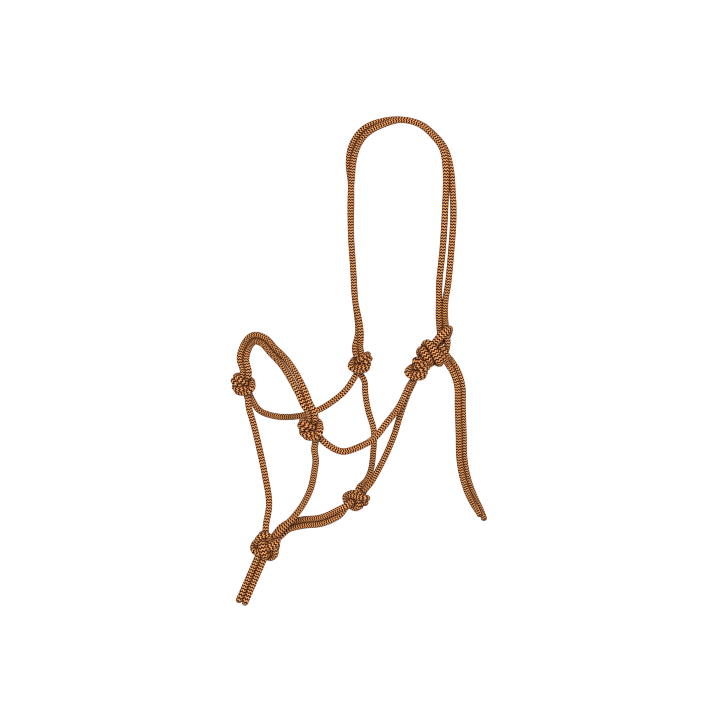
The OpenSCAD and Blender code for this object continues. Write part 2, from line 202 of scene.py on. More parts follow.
def open_trefoil(R=15.0, r=7.5, cut=0.30, L=60.0, out=10.0, n=400):
    """loose overhand knot: a trefoil on a torus, cut at its rim, ends up and down"""
    t = np.linspace(cut, 2 * math.pi - cut, n)
    rho = R + r * np.cos(3 * t)
    P = np.stack([rho * np.cos(2 * t), r * np.sin(3 * t), rho * np.sin(2 * t)], 1)
    N = np.stack([np.cos(3 * t) * np.cos(2 * t), np.sin(3 * t), np.cos(3 * t) * np.sin(2 * t)], 1)
    X = R + r + out

    def bez(p0, p1, t0, t1, h, m=30):
        u = np.linspace(0, 1, m)[:, None]
        return (1 - u)**3 * p0 + 3 * (1 - u)**2 * u * (p0 + t0 * h) + 3 * (1 - u) * u * u * (p1 - t1 * h) + u**3 * p1
    T0, T1 = unit(P[1] - P[0]), unit(P[-1] - P[-2])
    a, b = V(X, 0, P[0, 2] + 10), V(X, 0, P[-1, 2] - 10)
    dn = V(0, 0, -1)
    h0, h1 = bez(a, P[0], dn, T0, 14), bez(P[-1], b, T1, dn, 14)
    path = np.concatenate([np.linspace(a + [0, 0, L], a, 30)[:-1], h0[:-1], P, h1[1:],
                           np.linspace(b, b - [0, 0, L], 30)[1:]])
    T = tangents(path)
    i0 = 29 + len(h0) - 1
    O = np.zeros_like(path)
    O[i0:i0 + n] = np.cross(N, T[i0:i0 + n])
    for i in list(range(i0 - 1, -1, -1)):
        O[i] = unit(O[i + 1] - T[i] * (O[i + 1] @ T[i]))
    for i in range(i0 + n, len(path)):
        O[i] = unit(O[i - 1] - T[i] * (O[i - 1] @ T[i]))
    return path, O


def make_overhand():
    d0, ell = 3.2, 2.8
    path, O = open_trefoil()
    S = [resample(path + O * d0 * 0.55, ell), resample(path - O * d0 * 0.55, ell)]
    steps = 1300
    dirs = {(k, 0): (0, 0, 1.0) for k in (0, 1)}
    dirs.update({(k, 1): (0, 0, -1.0) for k in (0, 1)})
    R = tighten(S, dirs, d0, 8.0, ell, steps, 0.25)
    T = np.concatenate([tangents(q) for q in R])
    C = np.concatenate(R)
    w = np.abs(T[:, 2]) < 0.8
    cen = (C[w].min(0) + C[w].max(0)) / 2
    # the turns bed into each other as the rope is drawn down hard
    return [smooth(resample(q - cen, 1.0), 6) * V(0.98, 0.98, 0.66) for q in R]


OVERHAND = make_overhand()


class Knot:
    """a doubled overhand knot placed in the frame; tails a, b up and a, b down"""

    def __init__(self, name, centre, up, side, spin, mirror, node, size=1.0):
        z = unit(up)
        x = unit(np.array(side, float) - z * (np.array(side, float) @ z))
        y = np.cross(z, x)
        M = np.stack([x, y, z], 1)
        a = math.radians(spin)
        Rz = np.array([[math.cos(a), -math.sin(a), 0], [math.sin(a), math.cos(a), 0], [0, 0, 1]])
        S = np.diag([1, -1, 1]) if mirror else np.eye(3)
        self.name, self.node, self.c, self.z = name, node, np.array(centre, float), z
        self.ropes = [q @ (M @ Rz @ S).T * size + self.c for q in OVERHAND]
        self.body, self.tail = [], {}
        for k, q in enumerate(self.ropes):
            h = (q - self.c) @ z
            hi = np.nonzero(h > 10.5)[0]
            lo = np.nonzero(h < -10.5)[0]
            T = tangents(q) @ z
            # first bead from the outer end where the rope dives into the turns
            i = 0
            while i < len(q) - 1 and h[i] > 9.0 and T[i] < -0.75:
                i += 1
            j = len(q) - 1
            while j > 0 and h[j] < -9.0 and T[j] < -0.75:
                j -= 1
            self.body.append(q[i:j + 1])
            self.tail[(k, "top")] = q[max(i - 1, 0):i + 4][::-1]
            self.tail[(k, "bottom")] = q[max(j - 3, 0):j + 2]


# ------------------------------------------------------------- braid mesh
def carried(T):
    a = V(0, 0, 1) if abs(T[0][2]) < 0.9 else V(0, 1, 0)
    v = unit(np.cross(T[0], a))
    out = []
    for t in T:
        v = unit(v - t * (v @ t))
        out.append(v)
    return np.array(out)


ROW = 1.80          # one yarn row along the rope, mm
COLS = 14           # carriers round the braid
AROUND = 28


def relief(u, s):
    """height 0..1 of the braid's yarns at turn u (0..1) and run s (mm)"""
    c = COLS * u
    ci = np.floor(c + 1e-6)
    cf = c - ci
    sg = np.where(ci % 2 < 0.5, 1.0, -1.0)
    w = s / ROW + sg * (cf - 0.5) * 0.95
    rf = w - np.floor(w)
    return np.sqrt(np.clip(1 - 0.92 * (2 * rf - 1)**2, 0, 1)) * (0.55 + 0.45 * np.sqrt(np.clip(1 - (2 * cf - 1)**2 * 0.95, 0, 1)))


def rings(P, s0=0.0, r=ROPE_R, step=0.65, squeeze=None):
    """ring vertices of a braided rope along P (mm); squeeze = (directions, wide,
    thin) flattens the section along a direction where the rope is drawn down"""
    P = resample(P, 1.0)
    P = smooth(P, 2)
    L = length(P)
    n = max(4, int(round(L / step)))
    d = np.r_[0, np.cumsum(np.linalg.norm(np.diff(P, axis=0), axis=1))]
    s = np.linspace(0, d[-1], n + 1)
    C = np.stack([np.interp(s, d, P[:, k]) for k in range(3)], 1)
    C = smooth(C, 2)
    T = tangents(C)
    N = carried(T)
    B = np.cross(T, N)
    u = np.arange(AROUND) / AROUND
    ang = 2 * math.pi * u
    U, S = np.meshgrid(u, s + s0)
    h = relief(U, S)
    rad = r - 0.30 + 0.42 * h
    O = rad[..., None] * (np.cos(ang)[None, :, None] * N[:, None, :] + np.sin(ang)[None, :, None] * B[:, None, :])
    if squeeze:
        D, wide, thin = squeeze(C)
        D = D - T * (D * T).sum(1)[:, None]
        D /= np.maximum(np.linalg.norm(D, axis=1), 1e-6)[:, None]
        k = (O * D[:, None, :]).sum(2)[..., None]
        wide, thin = (np.broadcast_to(np.asarray(q, float), (len(C),))[:, None, None] for q in (wide, thin))
        O = (O - k * D[:, None, :]) * wide + k * D[:, None, :] * thin
    return C[:, None, :] + O, s + s0, C, T


def mesh_from_rings(name, X, s, cap0=True, cap1=True, C=None):
    n, m, _ = X.shape
    verts = X.reshape(-1, 3) * MM
    i = np.arange(n - 1)[:, None]
    j = np.arange(m)[None, :]
    a = i * m + j
    b = i * m + (j + 1) % m
    c = (i + 1) * m + (j + 1) % m
    d = (i + 1) * m + j
    quads = np.stack([a, b, c, d], -1).reshape(-1, 4)
    u0 = np.broadcast_to(j / m, a.shape)
    u1 = np.broadcast_to((j + 1) / m, a.shape)
    s0 = np.broadcast_to(s[:-1, None], a.shape)
    s1 = np.broadcast_to(s[1:, None], a.shape)
    uv = np.stack([np.stack([u0, s0], -1), np.stack([u1, s0], -1), np.stack([u1, s1], -1), np.stack([u0, s1], -1)], 2).reshape(-1, 2)
    faces = quads.tolist()
    uvl = [uv]
    extra = []
    base = len(verts)
    if cap0:
        extra.append(X[0].mean(0) * MM)
        k = base + len(extra) - 1
        for q in range(m):
            faces.append([k, (q + 1) % m, q])
        uvl.append(np.tile([[0.5, s[0]], [0.55, s[0]], [0.45, s[0]]], (m, 1)))
    if cap1:
        extra.append(X[-1].mean(0) * MM)
        k = base + len(extra) - 1
        o = (n - 1) * m
        for q in range(m):
            faces.append([k, o + q, o + (q + 1) % m])
        uvl.append(np.tile([[0.5, s[-1]], [0.45, s[-1]], [0.55, s[-1]]], (m, 1)))
    if extra:
        verts = np.concatenate([verts, np.array(extra)])
    me = bpy.data.meshes.new(name)
    me.from_pydata(verts.tolist(), [], faces)
    uvs = me.uv_layers.new(name="braid")
    uv = np.concatenate(uvl).copy()
    uv[:, 1] *= 0.001
    uvs.data.foreach_set("uv", uv.ravel())
    me.polygons.foreach_set("use_smooth", np.ones(len(faces), bool))
    me.update()
    return me


def add(name, me, mat, nodes=()):
    o = bpy.data.objects.new(name, me)
    bpy.context.scene.collection.objects.link(o)
    me.materials.append(mat)
    if nodes:
        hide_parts(*nodes)
    return o


def rope(name, P, mat, nodes=(), s0=0.0, r=ROPE_R, cap0=True, cap1=True):
    X, s, C, T = rings(np.asarray(P, float), s0, r)
    return add(name, mesh_from_rings(name, X, s, cap0, cap1), mat, nodes)


def join(name, parts, mat, nodes=(), squeeze=None):
    """several rope meshes as one piece"""
    objs = []
    for P, s0, r in parts:
        X, s, C, T = rings(np.asarray(P, float), s0, r, squeeze=squeeze)
        o = bpy.data.objects.new(name, mesh_from_rings(name, X, s))
        bpy.context.scene.collection.objects.link(o)
        objs.append(o)
    with bpy.context.temp_override(active_object=objs[0], object=objs[0], selected_objects=objs, selected_editable_objects=objs):
        bpy.ops.object.join()
    o = objs[0]
    o.data.materials.clear()
    o.data.materials.append(mat)
    if nodes:
        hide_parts(*nodes)
    return o


# ---------------------------------------------------------------- materials
class G:
    """tiny helper to write shader maths"""

    def __init__(self, nt):
        self.nt = nt

    def n(self, kind, **kw):
        x = self.nt.nodes.new(kind)
        for k, v in kw.items():
            setattr(x, k, v)
        return x

    def m(self, op, a, b=None, c=None):
        x = self.n("ShaderNodeMath", operation=op)
        for i, q in enumerate((a, b, c)):
            if q is None:
                continue
            if isinstance(q, (int, float)):
                x.inputs[i].default_value = q
            else:
                self.nt.links.new(q, x.inputs[i])
        return x.outputs[0]

    def mix(self, f, a, b):
        x = self.n("ShaderNodeMix", data_type="RGBA")
        for s, q in ((x.inputs[0], f), (x.inputs[6], a), (x.inputs[7], b)):
            if isinstance(q, (int, float)):
                s.default_value = q
            elif isinstance(q, tuple):
                s.default_value = (*q, 1)
            else:
                self.nt.links.new(q, s)
        return x.outputs[2]


def braid_material(name, seal=None):
    mt = bpy.data.materials.new(name)
    mt.use_nodes = True
    nt = mt.node_tree
    nt.nodes.clear()
    g = G(nt)
    uv = g.n("ShaderNodeUVMap", uv_map="braid")
    sp = g.n("ShaderNodeSeparateXYZ")
    nt.links.new(uv.outputs[0], sp.inputs[0])
    u = sp.outputs[0]
    s = g.m("MULTIPLY", sp.outputs[1], 1000.0)
    c = g.m("MULTIPLY", u, float(COLS))
    cf = g.m("FRACT", c)
    par = g.m("GREATER_THAN", g.m("FRACT", g.m("MULTIPLY", c, 0.5)), 0.5)
    sg = g.m("SUBTRACT", 1.0, g.m("MULTIPLY", par, 2.0))
    w = g.m("ADD", g.m("DIVIDE", s, ROW), g.m("MULTIPLY", g.m("MULTIPLY", sg, g.m("SUBTRACT", cf, 0.5)), 0.95))
    rf = g.m("FRACT", w)
    odd = g.m("GREATER_THAN", g.m("FRACT", g.m("MULTIPLY", w, 0.5)), 0.5)
    # soft edge between the two yarn colours
    e = g.m("ABSOLUTE", g.m("SUBTRACT", g.m("FRACT", g.m("ADD", g.m("MULTIPLY", w, 0.5), 0.0)), 0.5))
    colr = g.n("ShaderNodeMapRange", interpolation_type="SMOOTHSTEP")
    # triangle wave: 0 in the middle of the dark yarn, 0.5 in the middle of the orange
    tri = g.m("ABSOLUTE", g.m("SUBTRACT", g.m("FRACT", g.m("ADD", g.m("MULTIPLY", w, 0.5), 0.25)), 0.5))
    nt.links.new(tri, colr.inputs[0])
    colr.inputs[1].default_value = 0.205
    colr.inputs[2].default_value = 0.245
    tc = g.n("ShaderNodeTexCoord")
    nz = g.n("ShaderNodeTexNoise")
    nz.inputs["Scale"].default_value = 260.0
    nz.inputs["Detail"].default_value = 4.0
    nt.links.new(tc.outputs["Object"], nz.inputs["Vector"])
    nz2 = g.n("ShaderNodeTexNoise")
    nz2.inputs["Scale"].default_value = 26.0
    nz2.inputs["Detail"].default_value = 2.0
    nt.links.new(tc.outputs["Object"], nz2.inputs["Vector"])
    # fibre lines run along each yarn
    fib = g.m("SINE", g.m("MULTIPLY", g.m("ADD", g.m("MULTIPLY", rf, 5.0), g.m("MULTIPLY", nz.outputs[0], 1.3)), 6.2832))
    fibn = g.m("MULTIPLY_ADD", fib, 0.5, 0.5)
    orange = g.mix(nz2.outputs[0], (0.78, 0.37, 0.105), (0.90, 0.55, 0.20))
    # painted highlight and painted shade: each yarn is painted yellower on its crown, where light falls, and redder
    # towards its sides
    crest_highlight = g.m("MINIMUM", g.m("MAXIMUM", g.m("MULTIPLY", g.m("SUBTRACT", tri, 0.27), 6.5), 0.0), 1.0)
    orange = g.mix(crest_highlight, (0.54, 0.11, 0.030), orange)
    orange = g.mix(g.m("MULTIPLY", fibn, 0.20), orange, (0.55, 0.16, 0.04))
    dark = g.mix(g.m("MULTIPLY", fibn, 0.5), (0.012, 0.002, 0.001), (0.040, 0.007, 0.002))
    base = g.mix(colr.outputs[0], dark, orange)
    # painted shade: the valleys between yarns are painted darker
    v1 = g.m("POWER", g.m("ABSOLUTE", g.m("MULTIPLY_ADD", rf, 2.0, -1.0)), 5.0)
    v2 = g.m("POWER", g.m("ABSOLUTE", g.m("MULTIPLY_ADD", cf, 2.0, -1.0)), 7.0)
    valley_shade = g.m("MINIMUM", g.m("ADD", g.m("MULTIPLY", v1, 0.45), g.m("MULTIPLY", v2, 0.35)), 1.0)
    base = g.mix(g.m("MULTIPLY", valley_shade, 0.8), base, (0.12, 0.022, 0.010))
    if seal:
        at_ = g.n("ShaderNodeAttribute", attribute_name="melt")
        burnt = g.mix(nz.outputs[0], (0.045, 0.014, 0.008), (0.20, 0.070, 0.030))
        base = g.mix(at_.outputs["Fac"], base, burnt)
    # painted shade: creases between touching turns of rope are painted redder and darker, by ambient occlusion
    ao = g.n("ShaderNodeAmbientOcclusion")
    ao.samples = 6
    ao.inputs["Distance"].default_value = 0.005
    crease_shade = g.m("MINIMUM", g.m("MAXIMUM", g.m("MULTIPLY", g.m("SUBTRACT", 0.88, ao.outputs["AO"]), 1.9), 0.0), 1.0)
    base = g.mix(g.m("MULTIPLY", crease_shade, 0.85), base, (0.075, 0.013, 0.005))
    # painted shade: the sides turned away from the view are painted redder and darker, by the facing ratio
    lw = g.n("ShaderNodeLayerWeight")
    lw.inputs[0].default_value = 0.5
    side = g.m("MULTIPLY", g.m("POWER", lw.outputs["Facing"], 2.2), 0.55)
    base = g.mix(side, base, (0.26, 0.045, 0.022))
    # height for the bump
    hr = g.m("SQRT", g.m("MAXIMUM", g.m("SUBTRACT", 1.0, g.m("MULTIPLY", g.m("POWER", g.m("ABSOLUTE", g.m("MULTIPLY_ADD", rf, 2.0, -1.0)), 2.0), 0.95)), 0.0))
    hc = g.m("SQRT", g.m("MAXIMUM", g.m("SUBTRACT", 1.0, g.m("MULTIPLY", g.m("POWER", g.m("ABSOLUTE", g.m("MULTIPLY_ADD", cf, 2.0, -1.0)), 2.0), 0.95)), 0.0))
    hh = g.m("ADD", g.m("MULTIPLY", g.m("MULTIPLY", hr, hc), 1.0), g.m("MULTIPLY", fib, 0.06))
    bump = g.n("ShaderNodeBump")
    bump.inputs["Strength"].default_value = 0.85
    bump.inputs["Distance"].default_value = 0.00028
    nt.links.new(hh, bump.inputs["Height"])
    bs = g.n("ShaderNodeBsdfPrincipled")
    out = g.n("ShaderNodeOutputMaterial")
    nt.links.new(base, bs.inputs["Base Color"])
    rough = g.m("MULTIPLY_ADD", nz.outputs[0], 0.2, 0.46)
    if seal:
        rough = g.m("SUBTRACT", rough, g.m("MULTIPLY", at_.outputs["Fac"], 0.18))
    nt.links.new(rough, bs.inputs["Roughness"])
    bs.inputs["Sheen Weight"].default_value = 0.04
    bs.inputs["Sheen Roughness"].default_value = 0.45
    bs.inputs["Sheen Tint"].default_value = (1.0, 0.72, 0.45, 1)
    nt.links.new(g.m("MULTIPLY_ADD", colr.outputs[0], 0.11, 0.02), bs.inputs["Specular IOR Level"])
    nt.links.new(bump.outputs[0], bs.inputs["Normal"])
    nt.links.new(bs.outputs[0], out.inputs[0])
    return mt


BRAID = braid_material("orange_black_braid")
SEAL = braid_material("melted_tip", seal=True)

# ------------------------------------------------------------ the layout
NF, NN = V(53, 67, 249), V(54, -67, 224)
CF, CN = V(235, 55, 248), V(234, -55, 261)
TH, FI, BD = V(180, 0, 85), V(35, 0, 58), V(261, -58, 285)
STAND, FSTAND = 18.9, 23.5


def beside(k, d, s):
    return k + unit(V(*d)) * s


# knots: centre, line of pull, ear side, spin about the line, mirrored
KN = {
    "nose_far": Knot("nose_far", NF, [0, 0.05, 1], [1, 0, 0], -15, True, "nose_knot_far"),
    "nose_near": Knot("nose_near", NN, [-0.2, 0, 1], [1, 0, 0], -20, True, "nose_knot_near"),
    "cheek_far": Knot("cheek_far", CF, [0, 0.05, 1], [1, 0, 0], 100, False, "cheek_knot_far"),
    "cheek_near": Knot("cheek_near", CN + V(1.9, -1.6, 0), [0.15, 0, 1], [1, 0, 0], 90, False, "cheek_knot_near", 0.95),
    "throat": Knot("throat", TH + V(0.8, -0.6, 0), [0.8, 0, 0.6], [1, 0, 0], 180, True, "throat_knot", 1.0),
}

noseband = [[52.6, 69.3, 249 + STAND, 4.4, 0], [55.2, 70.6, 280, 4.4, 0], [58, 64, 299.5, 4.3, 0], [58.5, 48, 311, 4.3, 0],
            [60, 32, 310, 4.3, 0], [57, 12, 303.5, 4.3, 0], [52.3, -21, 293, 4.6, 0], [48.5, -48.5, 275.5, 4.65, 0],
            [48.5, -63, 258, 4.3, 0], [49, -67, 224 + STAND, 4.5, 0]]
chin = [[*beside(TH, [-0.92, 0, -0.4], STAND + 0.2), 4.4, 0], [148, 0, 73, 4.3, 0], [125, 0, 70, 4.3, 0],
        [88, 0, 75, 4.3, 0], [66, 0, 74.5, 4.3, 0], [*beside(FI, [0.9, 0, 0.43], FSTAND + 0.3), 4.5, 0]]
crown = [[235, 56, 248 + STAND + 0.3, 4.6, 56], [235, 60, 301, 4.3, 75], [234, 65, 325, 4.3, 90], [235, 71, 370, 4.3, 90],
         [234, 74, 414, 4.3, 90], [235, 75, 486, 4.3, 80], [234, 74, 509, 4.4, 42], [235, 68, 530, 4.4, 18],
         [239, 52, 550, 4.4, 20], [250, 30, 562, 4.3, 50], [261, 8, 567, 4.3, 80], [271, -16, 563, 4.3, 78],
         [275, -37, 551, 4.3, 72], [274, -58, 535, 4.3, 60], [271, -68, 516, 4.3, 40], [270, -72, 485, 4.6, 10],
         [267.5, -75, 457, 5.3, 0], [264.5, -75, 412, 5.4, 0], [263, -72, 374, 5.6, 0], [265, -67, 345, 4.3, 0],
         [268.5, -63, 324, 4.3, 0]]
single = {
    "cheek_strand_far": ([beside(NF, [11, 2, -15], STAND), [77, 70, 211], [101, 73, 197], [130, 74, 189], [152, 74, 187],
                          [177, 72, 190], [200, 69, 199], [216, 64, 211], beside(CF, [-8, 2, -17], STAND)], "nose_far", "cheek_far", "cheek_run_far"),
    "cheek_strand_near": ([beside(NN, [12, -1, -14], STAND), [78, -72, 197], [95, -76, 187], [118, -78, 188], [145, -77, 194],
                           [170, -72, 208], [196, -65, 222], beside(CN, [-13, -3, -13.5], STAND)], "nose_near", "cheek_near", "cheek_run_near"),
    "jaw_strand_far": ([beside(NF, [0.5, -4, -18], STAND), [60, 57, 199], [62, 46, 163], [60, 34, 136], [53, 17, 101],
                        beside(FI, [0.2, 0.33, 0.93], FSTAND)], "nose_far", "fiador", "jaw_run_far"),
    "jaw_strand_near": ([beside(NN, [2, 1.5, -18], STAND), [64.5, -63, 180], [67, -57, 163], [69, -47, 138], [64, -29, 105],
                         beside(FI, [0.45, -0.5, 0.77], FSTAND)], "nose_near", "fiador", "jaw_run_near"),
    "throat_strand_far": ([beside(CF, [8, -1, -17], STAND), [241, 54, 210], [243, 50, 182], [246, 42, 156], [235, 30, 131], [216, 15, 108],
                           beside(TH, [15, 7, 11], STAND + 0.4)], "cheek_far", "throat", "throat_run_far"),
    "throat_strand_near": ([beside(CN, [-5, 3, -17.5], STAND), [221, -52, 229], [214, -48, 206], [210, -40, 176], [203, -28, 142], [199, -16, 118],
                            beside(TH, [14, -7, 12.5], STAND + 0.4)], "cheek_near", "throat", "throat_run_near"),
}

# each rope end asks its knot for a tail; nearest tails are handed out in pairs
LEAD = unit(-FI)
LFACE = unit(FACE - LEAD * (FACE @ LEAD))
LSIDE = np.cross(LEAD, LFACE)


class Button:
    """fiador knot: rope ends run straight towards its middle"""

    def __init__(self, c):
        self.c = c

    def tail_for(self, p):
        d = unit(p - self.c)
        return np.array([self.c + d * q for q in np.arange(6.0, 15.0, 1.0)])


BUTTON = Button(FI)
want = {}
paths = {}
for k, (w, a, b, body) in single.items():
    paths[k] = curve(w)
for nm, w, pair in (("noseband", noseband, ("noseband_front_strand", "noseband_rear_strand")),
                    ("chin", chin, ("chin_strand_upper", "chin_strand_lower")),
                    ("crown", crown, ("crown_rear_strand", "crown_front_strand"))):
    paths[pair[0]], paths[pair[1]] = twin(w, -1), twin(w, 1)
ends = []   # (knot, side, path name, end index)
for k, (w, a, b, body) in single.items():
    ends.append((a, "bottom", k, 0))
    ends.append((b, "top" if b == "throat" else "bottom", k, -1))
for k in ("noseband_front_strand", "noseband_rear_strand"):
    ends.append(("nose_far", "top", k, 0))
    ends.append(("nose_near", "top", k, -1))
for k in ("chin_strand_upper", "chin_strand_lower"):
    ends.append(("throat", "bottom", k, 0))
    ends.append(("fiador", "top", k, -1))
for k in ("crown_rear_strand", "crown_front_strand"):
    ends.append(("cheek_far", "top", k, 0))
# the view the sheet bend is laid out in: right, up and towards the viewer, mm
VBACK, VRIGHT, VUP = V(-0.62089, -0.73994, 0.25882), V(0.76604, -0.64279, 0), V(0.16637, 0.19827, 0.96593)


def laid(c, pts):
    return np.array([c + a * VRIGHT + b * VUP + w * VBACK for a, b, w in pts])


# tie loop: a bight that the crown ropes pass through, wrap behind and over
tie = curve(laid(BD, [(-16.2, -16.8, 3), (-9.2, -8.6, 1), (-2.3, 1.5, 2), (2.4, 8.9, 7), (9.1, 16.9, 10), (15.6, 22.4, 7),
                      (19.4, 25.2, 1), (19.6, 22.3, -6), (17.3, 16.1, -10), (9.7, 9.7, -11), (-0.4, 0.3, -9),
                      (-9.2, -9.9, -6), (-16.2, -18.7, -3)]))
CROWN_IN = {"crown_rear_strand": [(14.0, 30.6, 3), (14.8, 23.0, 0), (16.0, 15.4, -3), (17.1, 9.1, -5), (16.6, 1.5, -8), (13.5, -7.3, -14), (4.7, -13.7, -15)],
            "crown_front_strand": [(6.1, 30.6, 4), (6.9, 23.0, 0), (7.6, 15.4, -3), (6.7, 6.6, -5), (4.7, -2.3, -10), (-0.4, -8.6, -14)]}
WRAPS = [[(4.7, -13.7, -15), (-5.4, -9.9, -16), (-11.0, -3.0, -12), (-12.4, 2.5, -4), (-8.8, 6.6, 4), (-3.5, 0.8, 10),
          (0.9, -7.3, 11), (4.8, -14.6, 9), (6.9, -18.4, 2), (5.2, -18.2, -6), (2.1, -16.5, -10)],
         [(-0.4, -8.6, -14), (-8.0, -11.8, -16), (-15.0, -9.5, -12), (-18.2, -4.8, -3), (-15.8, -1.6, 4), (-12.2, -7.4, 10),
          (-8.3, -13.6, 10), (-4.6, -18.4, 4), (-4.4, -18.0, -5), (-6.7, -15.5, -9)]]
TAIL_IN = {"long": [(6.6, 3.4, -2), (12.3, -3.5, -1), (17.3, -10.5, -6)], "short": [(2.8, -3.5, 2), (9.1, -9.9, 2), (14.2, -15.6, -5)]}
for k, q in CROWN_IN.items():
    paths[k] = bridge(paths[k][:-6], curve(laid(BD, q)))
paths["tie_loop"] = tie
ends.append(("cheek_near", "top", "tie_loop", 0))
ends.append(("cheek_near", "top", "tie_loop", -1))

for kn, knot in KN.items():
    for side in ("top", "bottom"):
        E = [e for e in ends if e[0] == kn and e[1] == side]
        assert len(E) == 2, (kn, side, E)
        P = [paths[e[2]][e[3]] for e in E]
        t = [knot.tail[(0, side)][-1], knot.tail[(1, side)][-1]]
        straight = np.linalg.norm(P[0] - t[0]) + np.linalg.norm(P[1] - t[1])
        crossed = np.linalg.norm(P[0] - t[1]) + np.linalg.norm(P[1] - t[0])
        order = (0, 1) if straight <= crossed else (1, 0)
        for e, q in zip(E, order):
            want[(e[2], e[3])] = knot.tail[(q, side)]
for e in ends:
    if e[0] == "fiador":
        want[(e[2], e[3])] = BUTTON.tail_for(paths[e[2]][e[3]])
for k in list(paths):
    P = paths[k]
    TRIM = 5 if k == "tie_loop" else 24 if k.startswith("crown") else 16
    if (k, 0) in want:
        P = bridge(want[(k, 0)], P[TRIM:])
    if (k, -1) in want:
        P = bridge(P[:-TRIM], want[(k, -1)][::-1])
    paths[k] = smooth(resample(P, 1.0), 10 if k == "tie_loop" else 22)

# ------------------------------------------------------------- the pieces
for kn, knot in KN.items():
    s = 0.0
    flat = lambda C, z=knot.z: (np.tile(z, (len(C), 1)), 1.08, 0.86)
    o = join(knot.node + "_turns", [(smooth(resample(q, 1.0), 3), 17.3 * i, 3.95) for i, q in enumerate(knot.body)], BRAID,
             (knot.node,), squeeze=flat)
    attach(o, "knots")

for k, (w, a, b, body) in single.items():
    o = rope(k + "_rope", paths[k], BRAID, (k,))
    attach(o, body)
for k in ("chin_strand_upper", "chin_strand_lower"):
    o = rope(k + "_rope", paths[k], BRAID, (k,))
    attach(o, "chin_run")


# noseband and crown ropes leave the knots straight, then follow the curve of their run
for k in ("noseband_front_strand", "noseband_rear_strand"):
    o = rope(k + "_rope", paths[k], BRAID, (k,))
    n = unit([0, -25, 134])
    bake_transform(o)
for k in ("crown_front_strand", "crown_rear_strand"):
    o = rope(k + "_rope", paths[k], BRAID, (k,))
    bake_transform(o)


def toward_view(C):
    w = np.clip((32 - np.linalg.norm(C - BD, axis=1)) / 10, 0, 1)
    return np.tile(VBACK, (len(C), 1)), 1 + 0.28 * w, 1 - 0.14 * w


X, sv, C_, T_ = rings(paths["tie_loop"], 0.0, ROPE_R, squeeze=toward_view)
o = add("tie_loop_rope", mesh_from_rings("tie_loop_rope", X, sv), BRAID, ("tie_loop",))
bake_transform(o)
o = join("sheet_bend_turns", [(smooth(curve(laid(BD, q)), 6), 11.3 * i, 3.95) for i, q in enumerate(WRAPS)], BRAID,
         ("sheet_bend",), squeeze=toward_view)
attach(o, "crown")


# ------------------------------------------------------------ fiador knot
def button_turns(c, axis, spin, R=13.8, lat=0.98, eps=3.3):
    z = unit(axis)
    x = unit(FACE - z * (FACE @ z))
    y = np.cross(z, x)
    t = np.linspace(0, 2 * math.pi, 700)
    phi, la, rad = 3 * t + math.radians(spin), lat * np.sin(4 * t), R + eps * np.sin(8 * t)
    P = rad[:, None] * (np.cos(la)[:, None] * (np.cos(phi)[:, None] * x + np.sin(phi)[:, None] * y) + np.sin(la)[:, None] * z)
    return c + P


def from_middle(C):
    D = C - FI
    return D / np.linalg.norm(D, axis=1)[:, None], 1.2, 0.84


B0 = button_turns(FI, -LEAD, 20)
core = [np.array([FI - LEAD * 9, FI + LEAD * 9]), np.array([FI - LSIDE * 8, FI + LSIDE * 8]), np.array([FI - LFACE * 8, FI + LFACE * 8])]
o = join("fiador_knot_turns", [(B0, 5.0, 3.95)] + [(q, 0.0, 8.5) for q in core], BRAID, ("fiador_knot",), squeeze=from_middle)
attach(o, "knots")

# -------------------------------------------------------------- lead loops
for s_, node in ((-1, "lead_loop_left"), (1, "lead_loop_right")):
    def lp(a, f, e):
        return FI + LEAD * a + LFACE * f + LSIDE * e * s_
    D0 = float(np.linalg.norm(FI))
    arc = [lp(D0 + 7 * math.sin(q), 7 * math.cos(q), 4.0) for q in np.linspace(0, math.pi, 9)]
    w = ([lp(6, 2.5, 2.5), lp(14, 4.2, 3.9), lp(24, 4.5, 4.0), lp(D0 - 26, 5.0, 4.0), lp(D0 - 12, 6.6, 4.0)] + arc
         + [lp(D0 - 12, -6.6, 4.0), lp(D0 - 26, -5.0, 4.0), lp(24, -4.5, 4.0), lp(14, -4.2, 3.9), lp(6, -2.5, 2.5)])
    o = rope(node + "_rope", smooth(curve(w), 6), BRAID, (node,), s0=s_ * 0.9)
    a0 = FI @ LEAD
    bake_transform(o)

# -------------------------------------------------------------------- tail
tail = [[282, -62, 266, 4.4, 34], [289, -67, 252, 4.4, 34], [293, -71, 236, 4.4, 34], [292.5, -74, 206, 4.4, 34],
        [294, -75, 168, 4.4, 34], [296, -75, 135, 4.4, 32], [302, -75, 109, 4.4, 32], [314, -75, 81, 4.4, 34],
        [330, -75, 55, 4.3, 56], [341, -75, 37, 4.3, 84]]


